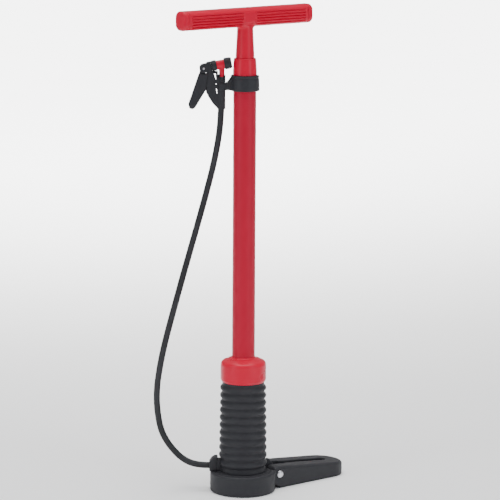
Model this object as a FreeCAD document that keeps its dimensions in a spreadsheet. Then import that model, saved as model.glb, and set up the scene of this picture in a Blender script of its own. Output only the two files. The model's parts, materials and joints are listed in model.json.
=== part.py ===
import FreeCAD, Part
import math
import os
import Sketcher
from FreeCAD import Placement, Rotation, Vector

# Floor pump for bicycle tyres, in millimetres.
# The origin is on the pump's axis at floor level. +Z is up, +X points to the toe of the fold-out pedal,
# and the handle's bar lies along X. Parts that belong to the hose side are drawn in a plane through the
# pump's axis and turned about Z by hose_side_angle.

doc = FreeCAD.newDocument("floor_pump")
sheet = doc.addObject("Spreadsheet::Sheet", "sizes")

SIZES = [
    ("hose_side_angle", 143.0, "direction of the hose port and the parked head, degrees from +X"),
    # base
    ("base_radius", 43.5, "round base"),
    ("base_high", 27.0, "top of the base"),
    ("base_wall", 4.0, "wall of the base"),
    ("deck_thick", 5.0, "deck between the wall and the well"),
    ("well_radius", 18.0, "well that holds the valve block"),
    ("well_floor", 10.0, "upper face of the well's floor"),
    ("pad_thick", 2.2, "rubber pad under the base"),
    ("screw_radius", 1.6, "base screws"),
    ("screw_circle", 12.0, "circle of the base screws"),
    # hinge and pedal
    ("hinge_flat", 30.6, "flat side of the base behind the pedal"),
    ("pin_out", 43.0, "hinge pin, distance from the axis"),
    ("pin_up", 19.5, "hinge pin, height"),
    ("pin_radius", 2.5, "hinge pin"),
    ("lug_half", 8.1, "half width of the hinge lug"),
    ("cheek_gap", 6.4, "gap between the two cheeks above the lug"),
    ("pedal_width", 52.0, "pedal across both rails"),
    ("pedal_toe", 165.0, "toe of the pedal"),
    ("pedal_heel", 31.2, "heel of the pedal"),
    ("pedal_heel_high", 29.8, "height at the hinge"),
    ("pedal_toe_high", 17.4, "height at the toe"),
    ("slot_width", 11.0, "slot between the rails"),
    ("slot_wide", 17.0, "slot near the hinge, where the lug and cheeks pass"),
    ("slot_step", 65.0, "place where the slot narrows"),
    ("slot_end", 141.5, "inner end of the slot"),
    # valve block
    ("block_radius", 20.5, "valve block above the deck"),
    ("block_high", 60.0, "top of the barrel's socket"),
    ("socket_floor", 42.0, "lower end of the barrel"),
    ("chamber_radius", 5.0, "valve chamber"),
    ("chamber_floor", 20.0, "bottom of the valve chamber"),
    ("seat_radius", 6.5, "valve seat, outside"),
    ("seat_bore", 2.2, "valve seat, hole"),
    ("seat_low", 38.0, "underside of the valve seat"),
    ("ball_radius", 3.2, "check ball"),
    ("ball_up", 35.57, "centre of the ball on its seat"),
    ("port_up", 33.5, "height of the hose port"),
    ("port_face", 44.5, "face of the hose port, distance from the axis"),
    ("port_width", 16.0, "width of the port's arm"),
    # ribbed housing and its collar
    ("housing_bore", 26.0, "ribbed housing, inside"),
    ("crest_top", 30.4, "radius of the uppermost ring"),
    ("crest_step", 0.15, "growth of each ring's radius towards the base"),
    ("valley_top", 27.8, "radius of the uppermost valley"),
    ("valley_step", 0.2, "growth of each valley towards the base"),
    ("ring_top", 139.8, "height of the uppermost ring"),
    ("ring_pitch", 10.15, "distance between rings"),
    ("collar_low", 148.5, "lower edge of the red collar"),
    ("collar_radius", 30.2, "red collar"),
    # barrel and its cap
    ("barrel_radius", 15.0, "barrel"),
    ("barrel_wall", 1.2, "barrel wall"),
    ("barrel_high", 561.0, "upper end of the barrel"),
    ("cap_low", 555.0, "lower edge of the cap's skirt"),
    ("cap_high", 576.0, "top of the cap"),
    ("cap_plug", 545.0, "underside of the cap inside the barrel"),
    ("clamp_low", 534.6, "lower face of the clip's band"),
    ("clamp_high", 554.7, "upper face of the clip's band"),
    ("bumper_low", 539.0, "underside of the rubber bumper"),
    # rod and piston
    ("rod_radius", 5.0, "piston rod"),
    ("rod_thread", 4.0, "threaded ends of the rod"),
    ("rod_low", 44.0, "lower end of the rod"),
    ("rod_shoulder", 70.0, "shoulder above the piston"),
    ("rod_high", 614.0, "upper end of the rod"),
    ("piston_radius", 13.45, "piston"),
    ("piston_low", 52.5, "underside of the piston"),
    ("piston_high", 68.5, "top of the piston"),
    ("run_fit", 0.05, "radial clearance of a running fit"),
    # handle
    ("bar_length", 212.0, "handle bar from end to end"),
    ("bar_deep", 22.0, "depth of the bar"),
    ("bar_high", 25.0, "height of the bar"),
    ("bar_up", 630.0, "centre of the bar"),
    ("end_length", 8.5, "end caps of the bar"),
    ("stem_low", 577.3, "lower end of the stem"),
    ("stem_radius_low", 12.4, "stem, lower end"),
    ("stem_radius_high", 10.5, "stem, upper end"),
    # head
    ("head_out", 30.0, "axis of the head's stem, distance from the pump's axis"),
    ("head_rise", 2.3, "height of the head's own frame above the floor"),
    ("nozzle_up", 566.5, "height where the nozzle's axis crosses the stem"),
    ("nozzle_tilt", 10.5, "tilt of the nozzle, degrees"),
    ("nozzle_radius", 5.8, "red body of the head"),
    ("nozzle_bore", 3.4, "bore of the head's body"),
    ("stem_end", 550.0, "lower end of the head's stem"),
    ("sleeve_radius", 4.9, "sleeve of the grip round the hose"),
    ("sleeve_low", 508.3, "lower end of the sleeve"),
    ("grip_half", 4.3, "half thickness of the grip"),
    ("lever_pin_out", 23.4, "lever pin, distance from the head's stem"),
    ("lever_pin_up", 561.2, "lever pin, height"),
    ("lever_pin_radius", 1.3, "lever pin"),
    ("lever_hub", 4.3, "cam at the top of the lever"),
    ("lever_half", 5.8, "half width of the lever"),
    ("hose_radius", 4.2, "hose"),
]


class Size:
    """A number together with the spreadsheet expression that gives it."""

    def __init__(self, value, text):
        self.value = value
        self.text = text

    def __add__(self, other):
        other = as_size(other)
        return Size(self.value + other.value, f"({self.text} + {other.text})")

    def __sub__(self, other):
        other = as_size(other)
        return Size(self.value - other.value, f"({self.text} - {other.text})")

    def __mul__(self, other):
        other = as_size(other)
        return Size(self.value * other.value, f"({self.text} * {other.text})")

    def __truediv__(self, other):
        other = as_size(other)
        return Size(self.value / other.value, f"({self.text} / {other.text})")

    def __neg__(self):
        return as_size(0) - self


def as_size(number):
    if isinstance(number, Size):
        return number
    return Size(float(number), f"({float(number)})")


class Named:
    """The sheet's cells by alias, such as dim.base_radius."""


dim = Named()
for row, (alias, number, meaning) in enumerate(SIZES, start=1):
    sheet.set(f"A{row}", alias)
    sheet.set(f"B{row}", str(number))
    sheet.set(f"C{row}", meaning)
    sheet.setAlias(f"B{row}", alias)
    setattr(dim, alias, Size(number, f"sizes.{alias}"))
doc.recompute()

sub_parts = []


# ---------------------------------------------------------------- helpers

def bind(thing, prop, size):
    thing.setExpression(prop, as_size(size).text)


def new_body(label, place=None):
    body = doc.addObject("PartDesign::Body", label)
    body.Label = label
    if place is not None:
        body.Placement = place
    sub_parts.append(body)
    return body


def new_sketch(body, plane, offset=0):
    sketch = body.newObject("Sketcher::SketchObject", body.Label + "_sketch")
    base = [item for item in body.Origin.OriginFeatures if item.Role == plane][0]
    sketch.AttachmentSupport = [(base, "")]
    sketch.MapMode = "FlatFace"
    offset = as_size(offset)
    sketch.AttachmentOffset = Placement(Vector(0, 0, offset.value), Rotation())
    if offset.value:
        bind(sketch, "AttachmentOffset.Base.z", offset)
    return sketch


def fix_point(sketch, piece, corner, x, y):
    """Hold one point of a sketch at x, y, measured from the sketch's origin."""
    for kind, size in (("DistanceX", x), ("DistanceY", y)):
        number = sketch.addConstraint(Sketcher.Constraint(kind, -1, 1, piece, corner, size.value))
        sketch.setExpression(f"Constraints[{number}]", size.text)


def outline(sketch, points):
    """A closed outline of straight edges through points given as pairs of sizes."""
    corners = [(as_size(x), as_size(y)) for x, y in points]
    first = sketch.GeometryCount
    count = len(corners)
    for index in range(count):
        start = corners[index]
        end = corners[(index + 1) % count]
        sketch.addGeometry(Part.LineSegment(Vector(start[0].value, start[1].value, 0),
                                            Vector(end[0].value, end[1].value, 0)))
    for index in range(count):
        following = first + (index + 1) % count
        sketch.addConstraint(Sketcher.Constraint("Coincident", first + index, 2, following, 1))
    for index in range(count):
        fix_point(sketch, first + index, 1, *corners[index])


def ring(sketch, x, y, radius):
    x, y, radius = as_size(x), as_size(y), as_size(radius)
    piece = sketch.addGeometry(Part.Circle(Vector(x.value, y.value, 0), Vector(0, 0, 1), radius.value))
    number = sketch.addConstraint(Sketcher.Constraint("Radius", piece, radius.value))
    sketch.setExpression(f"Constraints[{number}]", radius.text)
    fix_point(sketch, piece, 3, x, y)


def revolve(body, points):
    sketch = new_sketch(body, "XZ_Plane")
    outline(sketch, points)
    turned = body.newObject("PartDesign::Revolution", body.Label + "_turned")
    turned.Profile = sketch
    turned.ReferenceAxis = (sketch, ["V_Axis"])
    turned.Angle = 360


def turned_part(label, points, place=None):
    """A piece turned about the Z axis of its own frame, from (radius, height) points."""
    body = new_body(label, place)
    revolve(body, points)
    return body


def tube_part(label, inner, outer, low, high, place=None):
    return turned_part(label, [(inner, low), (outer, low), (outer, high), (inner, high)], place)


def extrude(body, kind, sketch, length, both_ways):
    feature = body.newObject("PartDesign::" + kind, body.Label + "_" + kind.lower())
    feature.Profile = sketch
    bind(feature, "Length", length)
    if both_ways:
        feature.SideType = "Symmetric"
    return feature


def pad(body, plane, points, length):
    """Adds an outline to the body, half of length to each side of the plane."""
    sketch = new_sketch(body, plane)
    outline(sketch, points)
    extrude(body, "Pad", sketch, length, True)


def pocket(body, plane, points, length):
    """Cuts an outline from the body, half of length to each side of the plane."""
    sketch = new_sketch(body, plane)
    outline(sketch, points)
    extrude(body, "Pocket", sketch, length, True)


def cross_hole(body, plane, x, y, radius, length):
    sketch = new_sketch(body, plane)
    ring(sketch, x, y, radius)
    extrude(body, "Pocket", sketch, length, True)


def cross_boss(body, plane, x, y, radius, length):
    sketch = new_sketch(body, plane)
    ring(sketch, x, y, radius)
    extrude(body, "Pad", sketch, length, True)


def hole_from(body, plane, x, y, radius, start, length):
    """Drills along the plane's normal, from start over length."""
    sketch = new_sketch(body, plane, start)
    ring(sketch, x, y, radius)
    drilled = extrude(body, "Pocket", sketch, length, False)
    drilled.Reversed = True


def boss_from(body, plane, x, y, radius, start, length):
    sketch = new_sketch(body, plane, start)
    ring(sketch, x, y, radius)
    extrude(body, "Pad", sketch, length, False)


def round_edges(body, radius, wanted):
    """Rounds the edges for which wanted(edge, middle) is true."""
    doc.recompute()
    base = body.Tip
    names = []
    for number, edge in enumerate(base.Shape.Edges, start=1):
        if wanted(edge, edge.CenterOfMass):
            names.append(f"Edge{number}")
    rounded = body.newObject("PartDesign::Fillet", body.Label + "_fillet")
    rounded.Base = (base, names)
    bind(rounded, "Radius", radius)


def along(edge, axis):
    """True for a straight edge along the axis."""
    return isinstance(edge.Curve, Part.Line) and abs(edge.Curve.Direction.dot(axis)) > 0.999


def rim(edge, radius, height):
    """True for a circle of this radius at this height."""
    size = as_size(radius).value
    return (isinstance(edge.Curve, Part.Circle) and abs(edge.Curve.Radius - size) < 0.01
            and abs(edge.Curve.Center.z - as_size(height).value) < 0.01)


UP = Vector(0, 0, 1)
ACROSS = Vector(0, 1, 0)
hose_side = Placement(Vector(), Rotation(UP, dim.hose_side_angle.value))
head_frame = hose_side * Placement(Vector(dim.head_out.value, 0, dim.head_rise.value), Rotation())
# the nozzle's frame: Z along the nozzle towards the barrel, X upward, origin where it crosses the stem
nozzle_frame = head_frame * Placement(Vector(0, 0, dim.nozzle_up.value),
                                      Rotation(ACROSS, dim.nozzle_tilt.value - 90))


# ---------------------------------------------------------------- base

def make_base_cup():
    """Round base: wall, deck and well, a flat side, and a hinge lug with two cheeks above it."""
    body = new_body("base_cup")
    inner = dim.base_radius - dim.base_wall
    well_outer = dim.well_radius + dim.base_wall
    deck_low = dim.base_high - dim.deck_thick
    floor_low = dim.well_floor - dim.deck_thick
    revolve(body, [(0, floor_low), (well_outer, floor_low), (well_outer, deck_low), (inner, deck_low),
                   (inner, 0), (dim.base_radius, 0), (dim.base_radius, dim.base_high),
                   (dim.well_radius, dim.base_high), (dim.well_radius, dim.well_floor), (0, dim.well_floor)])
    round_edges(body, 2.5, lambda edge, middle: rim(edge, dim.base_radius, dim.base_high))
    flat_half = dim.pedal_width / 2 + 0.5
    pocket(body, "XY_Plane", [(dim.hinge_flat, -flat_half), (60, -flat_half),
                              (60, flat_half), (dim.hinge_flat, flat_half)], 80)
    seat = dim.hinge_flat - 7.2
    pad(body, "XZ_Plane", [(seat, 0), (dim.hinge_flat, 0), (dim.hinge_flat, dim.base_high),
                           (seat, dim.base_high)], dim.pedal_width)
    lug = dim.lug_half * 2
    lug_radius = 10
    pad(body, "XZ_Plane", [(seat, 5), (dim.pin_out, dim.pin_up - lug_radius),
                           (dim.pin_out, dim.pin_up + lug_radius), (33.2, dim.base_high),
                           (seat, dim.base_high)], lug)
    cross_boss(body, "XZ_Plane", dim.pin_out, dim.pin_up, lug_radius, lug)
    cheek_low = dim.pin_up + lug_radius
    pad(body, "XZ_Plane", [(33.2, 20), (46, 20), (46, cheek_low), (38, 38.5), (33.2, 38.5)], lug)
    pocket(body, "XZ_Plane", [(33, cheek_low), (60, cheek_low), (60, 45), (33, 45)], dim.cheek_gap)
    cross_hole(body, "XZ_Plane", dim.pin_out, dim.pin_up, dim.pin_radius + dim.run_fit, 60)
    screw_holes(body, dim.screw_radius + 0.1, 24, dim.hose_side_angle)


def screw_holes(body, radius, length, first_turn):
    """Three holes on the screw circle, the first at first_turn degrees in the body's own frame."""
    sketch = new_sketch(body, "XY_Plane")
    for step in range(3):
        angle = first_turn + 120 * step
        turn = math.radians(angle.value)
        x = Size(dim.screw_circle.value * math.cos(turn), f"(sizes.screw_circle * cos({angle.text} * 1deg))")
        y = Size(dim.screw_circle.value * math.sin(turn), f"(sizes.screw_circle * sin({angle.text} * 1deg))")
        ring(sketch, x, y, radius)
    extrude(body, "Pocket", sketch, length, True)


def make_base_pad():
    """Rubber pad glued under the base: it rests on the floor with the base's rim."""
    body = tube_part("base_pad", 0, dim.base_radius - dim.base_wall - 0.1, 0, dim.pad_thick)
    edge = dim.hinge_flat.value - 8
    pocket(body, "XY_Plane", [(edge, -30), (45, -30), (45, 30), (edge, 30)], 10)


def make_base_screws():
    """Three screws up through the well's floor into the valve block."""
    screws = []
    for step in range(3):
        turn = Rotation(UP, dim.hose_side_angle.value + 120 * step)
        spot = turn.multVec(Vector(dim.screw_circle.value, 0, 0))
        head = cylinder(f"screw_head_{step}", 3.0, 2.5, 5.0, Placement(spot, Rotation()))
        shank = cylinder(f"screw_shank_{step}", dim.screw_radius, 5.0, 17.0, Placement(spot, Rotation()))
        screws.append(fuse(f"base_screw_{step}", [head, shank]))
    group = doc.addObject("Part::Compound", "base_screws")
    group.Links = screws
    group.Label = "base_screws"
    sub_parts.append(group)


def cylinder(name, radius, low, high, place=None):
    """A cylinder along Z of the given frame, from low to high."""
    low, high = as_size(low), as_size(high)
    item = doc.addObject("Part::Cylinder", name)
    bind(item, "Radius", radius)
    bind(item, "Height", high - low)
    item.Placement = (place or Placement()) * Placement(Vector(0, 0, low.value), Rotation())
    return item


def fuse(name, items):
    item = doc.addObject("Part::MultiFuse", name)
    item.Shapes = items
    return item


def cut(name, base, tool):
    item = doc.addObject("Part::Cut", name)
    item.Base = base
    item.Tool = tool
    return item


# ---------------------------------------------------------------- valve block

def make_valve_block():
    """Moulded block in the base's well: barrel socket, valve chamber, and the arm with the hose port."""
    body = new_body("valve_block", hose_side)
    stem = dim.well_radius - 0.1
    groove = dim.barrel_radius + 1.9
    revolve(body, [(0, dim.well_floor), (stem, dim.well_floor), (stem, dim.base_high),
                   (dim.block_radius, dim.base_high), (dim.block_radius, dim.block_high),
                   (dim.barrel_radius, dim.block_high), (dim.barrel_radius, 55), (groove, 55), (groove, 53),
                   (dim.barrel_radius, 53), (dim.barrel_radius, dim.socket_floor),
                   (dim.seat_radius, dim.socket_floor), (dim.seat_radius, dim.seat_low),
                   (dim.chamber_radius, dim.seat_low), (dim.chamber_radius, dim.chamber_floor),
                   (0, dim.chamber_floor)])
    pad(body, "XZ_Plane", [(17, dim.base_high), (dim.port_face, dim.base_high), (dim.port_face, 40),
                           (40, 46), (33.4, 46), (33.4, 42), (17, 42)], dim.port_width)
    hole_from(body, "YZ_Plane", 0, dim.port_up, 2.5, 3, 30)
    hole_from(body, "YZ_Plane", 0, dim.port_up, 4, 22, 40)
    screw_holes(body, dim.screw_radius, 36, as_size(0))


def make_valve_parts():
    tube_part("valve_seat", dim.seat_bore, dim.seat_radius, dim.seat_low, dim.socket_floor)
    ball = doc.addObject("Part::Sphere", "check_ball")
    ball.Label = "check_ball"
    bind(ball, "Radius", dim.ball_radius)
    ball.Placement = Placement(Vector(0, 0, dim.ball_up.value), Rotation())
    sub_parts.append(ball)

    body = new_body("check_spring")
    wire = as_size(0.35)
    sketch = new_sketch(body, "XZ_Plane")
    ring(sketch, 2.6, dim.chamber_floor + wire, wire)
    coil = body.newObject("PartDesign::AdditiveHelix", "check_spring_coil")
    coil.Profile = sketch
    coil.ReferenceAxis = (sketch, ["V_Axis"])
    coil.Mode = 0
    coil.Pitch = 2.4
    coil.Height = 12.2

    seal = doc.addObject("Part::Torus", "barrel_oring")
    seal.Label = "barrel_oring"
    bind(seal, "Radius1", dim.barrel_radius + 0.95)
    bind(seal, "Radius2", 0.93)
    seal.Placement = Placement(Vector(0, 0, 54), Rotation())
    sub_parts.append(seal)

    to_port = hose_side * Placement(Vector(0, 0, dim.port_up.value), Rotation(ACROSS, 90))
    tube_part("base_fitting", 1.8, 4, 22, dim.port_face, to_port)


# ---------------------------------------------------------------- ribbed housing and collar

def make_ribbed_housing():
    """Sleeve with rings all round, which stands on the base and carries the red collar."""
    body = new_body("ribbed_housing", hose_side)
    points = [(dim.housing_bore, dim.base_high), (31.2, dim.base_high)]
    for step in range(10, -1, -1):
        height = dim.ring_top - dim.ring_pitch * step
        valley = dim.valley_top + dim.valley_step * step
        crest = dim.crest_top + dim.crest_step * step
        points += [(valley, height - 3.9), (crest, height - 1.5)]
        points += [(crest, height + 1.5), (valley, height + 3.9)]
    neck = dim.collar_radius - 2.7
    points += [(neck, dim.collar_low), (neck, dim.collar_low + 8), (dim.housing_bore, dim.collar_low + 8)]
    revolve(body, points)
    half = dim.port_width / 2 + 0.15
    pocket(body, "XY_Plane", [(15, -half), (40, -half), (40, half), (15, half)], 84.4)


def make_housing_collar():
    neck_high = dim.collar_low + 8
    shoulder = 175.4
    body = turned_part("housing_collar", [
        (dim.barrel_radius + 0.05, 162), (dim.collar_radius - 4, 162), (dim.collar_radius - 4, neck_high),
        (dim.collar_radius - 2.6, neck_high), (dim.collar_radius - 2.6, dim.collar_low),
        (dim.collar_radius - 1.4, dim.collar_low), (dim.collar_radius, dim.collar_low + 3),
        (dim.collar_radius, shoulder), (20.8, 179.3), (dim.barrel_radius + 0.05, 182.2)])
    round_edges(body, 6, lambda edge, middle: rim(edge, dim.collar_radius, shoulder))


# ---------------------------------------------------------------- barrel, cap, rod guide

def make_barrel_parts():
    inner = dim.barrel_radius - dim.barrel_wall
    tube_part("barrel", inner, dim.barrel_radius, dim.socket_floor, dim.barrel_high)
    skirt = dim.barrel_radius + 0.05
    bore = dim.rod_radius + 0.6
    plug = inner - 0.1
    turned_part("barrel_cap", [
        (8, dim.cap_plug), (plug, dim.cap_plug), (plug, dim.barrel_high), (skirt, dim.barrel_high),
        (skirt, dim.cap_low), (15.9, dim.cap_low), (14.9, 574), (14.0, dim.cap_high),
        (7.5, dim.cap_high), (7.5, 571), (bore, 571), (bore, 557), (8, 557)])
    guide = dim.rod_radius + dim.run_fit
    tube_part("rod_guide", guide, 8, dim.cap_plug, 557)
    tube_part("rod_wiper", guide, 7.5, 571, 575)
    tube_part("top_bumper", dim.rod_radius + 1, inner - 0.5, dim.bumper_low, dim.cap_plug)


def make_clip():
    """Band round the barrel with an arm and an open clip that holds the head by its sleeve."""
    body = new_body("parking_clip", hose_side)
    bore = dim.barrel_radius + 0.05
    low_radius, high_radius = 19.2, 18.5
    revolve(body, [(bore, dim.clamp_low), (low_radius, dim.clamp_low), (high_radius, dim.clamp_high),
                   (bore, dim.clamp_high)])
    round_edges(body, 1.2, lambda edge, middle: rim(edge, low_radius, dim.clamp_low)
                or rim(edge, high_radius, dim.clamp_high))
    arm_end = dim.head_out - 5.6
    arm_low = dim.clamp_low + 0.8
    clip_tall = 9
    pad(body, "XZ_Plane", [(17, arm_low), (arm_end, arm_low), (arm_end, arm_low + clip_tall), (22, 547),
                           (17, 552)], 11)
    boss_from(body, "XY_Plane", dim.head_out, 0, 7.2, arm_low, clip_tall)
    hole_from(body, "XY_Plane", dim.head_out, 0, dim.sleeve_radius + 0.05, 520, 40)
    pocket(body, "XY_Plane", [(dim.head_out, -dim.sleeve_radius), (40, -dim.sleeve_radius),
                              (40, dim.sleeve_radius), (dim.head_out, dim.sleeve_radius)], 1200)
    pocket(body, "XY_Plane", [(dim.head_out + 3, -9), (40, -9), (40, 9), (dim.head_out + 3, 9)], 1200)


# ---------------------------------------------------------------- rod and piston

def make_rod_and_piston():
    inside = dim.rod_radius - 1
    turned_part("piston_rod", [
        (0, dim.rod_low), (dim.rod_thread, dim.rod_low), (dim.rod_thread, dim.rod_shoulder),
        (dim.rod_radius, dim.rod_shoulder), (dim.rod_radius, dim.rod_high), (inside, dim.rod_high),
        (inside, dim.rod_shoulder + 4), (0, dim.rod_shoulder + 4)])
    prism = doc.addObject("Part::Prism", "nut_blank")
    prism.Polygon = 6
    prism.Circumradius = 7.5
    prism.Height = 6.2
    prism.Placement = Placement(Vector(0, 0, 44.8), Rotation())
    nut = cut("piston_nut", prism, cylinder("nut_hole", dim.rod_thread, 40, 55))
    nut.Label = "piston_nut"
    sub_parts.append(nut)
    tube_part("piston_washer_lower", dim.rod_thread, 9, 51, dim.piston_low)
    tube_part("piston_washer_upper", dim.rod_thread, 10, dim.piston_high, dim.rod_shoulder)
    groove = 10.5
    turned_part("piston", [
        (dim.rod_thread, dim.piston_low), (dim.piston_radius, dim.piston_low), (dim.piston_radius, 56),
        (groove, 56), (groove, 64), (dim.piston_radius, 64), (dim.piston_radius, dim.piston_high),
        (dim.rod_thread, dim.piston_high)])
    inner = dim.barrel_radius - dim.barrel_wall
    tube_part("piston_seal", groove + dim.run_fit.value, inner - dim.run_fit, 56.3, 63.7)


# ---------------------------------------------------------------- handle

def make_handle():
    """T handle: a bar with rounded edges and a stem that takes the rod."""
    body = new_body("handle")
    half = dim.bar_length / 2 - dim.end_length
    low = dim.bar_up - dim.bar_high / 2
    high = dim.bar_up + dim.bar_high / 2
    pad(body, "XZ_Plane", [(-half, low), (half, low), (half, high), (-half, high)], dim.bar_deep)
    round_edges(body, 9, lambda edge, middle: along(edge, Vector(1, 0, 0)))
    revolve(body, [(dim.rod_radius, dim.stem_low), (dim.stem_radius_low - 1, dim.stem_low),
                   (dim.stem_radius_low, dim.stem_low + 1.5), (dim.stem_radius_high, 618),
                   (dim.stem_radius_high, 632), (dim.rod_radius, 632)])
    hole_from(body, "XY_Plane", 0, 0, dim.rod_radius, 570, dim.rod_high - 570)
    hole_from(body, "XY_Plane", 0, 0, 8, 588, 16)
    for side in (-1, 1):
        sketch = new_sketch(body, "YZ_Plane", (half - 12) * side)
        ring(sketch, 0, dim.bar_up, 7)
        blind = extrude(body, "Pocket", sketch, 12, False)
        blind.Reversed = side > 0
    tube_part("handle_insert", dim.rod_radius, 8, 588, 604)


def make_handle_end(label, side):
    """End cap of the bar, with a spigot in the bar's end."""
    body = new_body(label)
    outer = dim.bar_length / 2
    inner = outer - dim.end_length
    low = dim.bar_up - dim.bar_high / 2
    high = dim.bar_up + dim.bar_high / 2
    near, far = inner * side, outer * side
    pad(body, "XZ_Plane", [(near, low), (far, low), (far, high), (near, high)], dim.bar_deep)
    round_edges(body, 9, lambda edge, middle: along(edge, Vector(1, 0, 0)))
    round_edges(body, 4, lambda edge, middle: abs(middle.x - outer.value * side) < 0.01)
    sketch = new_sketch(body, "YZ_Plane", inner * side)
    ring(sketch, 0, dim.bar_up, 6.95)
    spigot = extrude(body, "Pad", sketch, 10, False)
    spigot.Reversed = side > 0


# ---------------------------------------------------------------- pedal

def make_pedal():
    """Fold-out foot pedal: two rails joined by a round toe, wedge-shaped from the side."""
    body = new_body("pedal")
    pad(body, "XZ_Plane", [(dim.pedal_heel, 0), (dim.pedal_toe, 0), (dim.pedal_toe, dim.pedal_toe_high),
                           (dim.pin_out, dim.pedal_heel_high), (dim.pedal_heel, dim.pedal_heel_high)],
        dim.pedal_width)
    heel = dim.pedal_heel.value
    round_edges(body, 11.6, lambda edge, middle: along(edge, ACROSS) and middle.x < heel + 0.1)
    round_edges(body, dim.pedal_width / 2 - 0.2,
                lambda edge, middle: along(edge, UP) and middle.x > dim.pedal_toe.value - 0.1)
    half, wide = dim.slot_width / 2, dim.slot_wide / 2
    inner_end = dim.slot_end - half
    pocket(body, "XY_Plane", [(20, -wide), (dim.slot_step, -wide), (dim.slot_step, -half), (inner_end, -half),
                              (inner_end, half), (dim.slot_step, half), (dim.slot_step, wide), (20, wide)], 90)
    cross_hole(body, "XY_Plane", inner_end, 0, half, 90)
    cross_hole(body, "XZ_Plane", dim.pin_out, dim.pin_up, dim.pin_radius, 60)


def make_pedal_pin():
    """Hinge pin with a domed head on the near side and a retaining ring on the far side."""
    place = Placement(Vector(dim.pin_out.value, 0, dim.pin_up.value), Rotation(Vector(1, 0, 0), 90))
    half = dim.pedal_width / 2
    turned_part("pedal_pin", [
        (0, -half - 3), (dim.pin_radius, -half - 3), (dim.pin_radius, half), (5, half), (4.8, half + 1.2),
        (3.4, half + 2.3), (0, half + 2.7)], place)
    tube_part("pin_ring", dim.pin_radius, 4.6, -half - 1.4, -half, place)


# ---------------------------------------------------------------- head

def make_head_body():
    """Red T body of the head: the nozzle's barrel, a spigot behind it and the stem for the hose."""
    solid = fuse("head_blank", [
        cylinder("head_barrel", dim.nozzle_radius, -7, 5.5, nozzle_frame),
        cylinder("head_spigot", 4.6, -12.5, -7, nozzle_frame),
        cylinder("head_stem", 3.6, dim.stem_end, dim.nozzle_up - 2, head_frame)])
    hollow = fuse("head_hollow", [
        cylinder("head_bore", dim.nozzle_bore, -13, 6, nozzle_frame),
        cylinder("stem_bore", 1.9, dim.stem_end - 1, dim.nozzle_up - 2, head_frame)])
    head = cut("head_body", solid, hollow)
    head.Label = "head_body"
    sub_parts.append(head)
    tube_part("hose_fitting", 0.9, 1.9, dim.stem_end, 560, head_frame)


def make_nozzle():
    thread = dim.nozzle_radius + 0.05
    turned_part("nozzle_cap", [
        (thread, 3.3), (7.0, 3.3), (7.6, 4.2), (7.6, 11.6), (6.6, 12.9), (4.3, 12.9), (4.3, 10.4),
        (thread, 10.4)], nozzle_frame)
    tube_part("nozzle_seal", 3.0, dim.nozzle_radius, 5.5, 10.4, nozzle_frame)
    inner = dim.nozzle_bore - dim.run_fit
    turned_part("head_plunger", [
        (0, -20.57), (2, -20.57), (2, -9), (inner, -9), (inner, -5), (2.2, -5), (2.2, -2), (inner, -2),
        (inner, 2.6), (0, 2.6)], nozzle_frame)
    turned_part("head_nut", [
        (4.65, -7.05), (6.9, -7.05), (6.9, -13.5), (2.4, -13.5), (2.4, -12.55), (4.65, -12.55)], nozzle_frame)


def pivot_in_nozzle_frame():
    """The lever pin's place in the nozzle's frame, as (up, along)."""
    spot = head_frame.multVec(Vector(dim.lever_pin_out.value, 0, dim.lever_pin_up.value))
    local = nozzle_frame.inverse().multVec(spot)
    return local.x, local.z


def make_lever_housing():
    """Block behind the head with two ears that carry the lever's pin."""
    up, back = pivot_in_nozzle_frame()
    body = new_body("lever_housing", nozzle_frame)
    pad(body, "XZ_Plane", [(-8, -13.55), (6, -13.55), (6, -18.2), (up + 5.6, -19.6), (up + 5.6, back),
                           (up - 5.6, back), (up - 5.6, -18.6), (-8, -18.6)], 12.4)
    cross_boss(body, "XZ_Plane", up, back, 5.6, 12.4)
    pocket(body, "XZ_Plane", [(-12, -17.6), (12, -17.6), (12, -36), (-12, -36)], 8.0)
    hole_from(body, "XY_Plane", 0, 0, 2.4, -30, 20)
    cross_hole(body, "XZ_Plane", up, back, dim.lever_pin_radius, 40)
    place = head_frame * Placement(Vector(dim.lever_pin_out.value, 0, dim.lever_pin_up.value),
                                   Rotation(Vector(1, 0, 0), 90))
    turned_part("lever_pin", [
        (0, -6.9), (dim.lever_pin_radius, -6.9), (dim.lever_pin_radius, 6.2), (2.1, 6.2), (1.9, 6.9),
        (0, 7.2)], place)


def make_lever():
    """Thumb lever: an eccentric cam on the pin, and a paddle that hangs beside the grip."""
    body = new_body("lever", head_frame)
    cam_turn = math.radians(34.5)
    cam_out = dim.lever_pin_out + 1.7 * math.cos(cam_turn)
    cam_up = dim.lever_pin_up + 1.7 * math.sin(cam_turn)
    wide = dim.lever_half * 2
    pad(body, "XZ_Plane", [(18.4, 554.6), (29.8, 554.6), (43.4, 513.5), (40.6, 507.6), (34.2, 508.6),
                           (20.8, 533.5)], wide)
    round_edges(body, 3, lambda edge, middle: along(edge, ACROSS) and middle.z < 514 and middle.x > 35)
    inside = dim.grip_half + 0.35
    pocket(body, "XZ_Plane", [(14, 560), (20.6, 560), (22.8, 530), (22.8, 520), (14, 520)], inside * 2)
    pad(body, "XZ_Plane", [(20.6, 552), (29.6, 552), (27.6, 562), (20.6, 559.5)], 7.2)
    cross_boss(body, "XZ_Plane", cam_out, cam_up, dim.lever_hub, 7.2)
    cross_hole(body, "XZ_Plane", dim.lever_pin_out, dim.lever_pin_up, dim.lever_pin_radius + dim.run_fit, 40)


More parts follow.
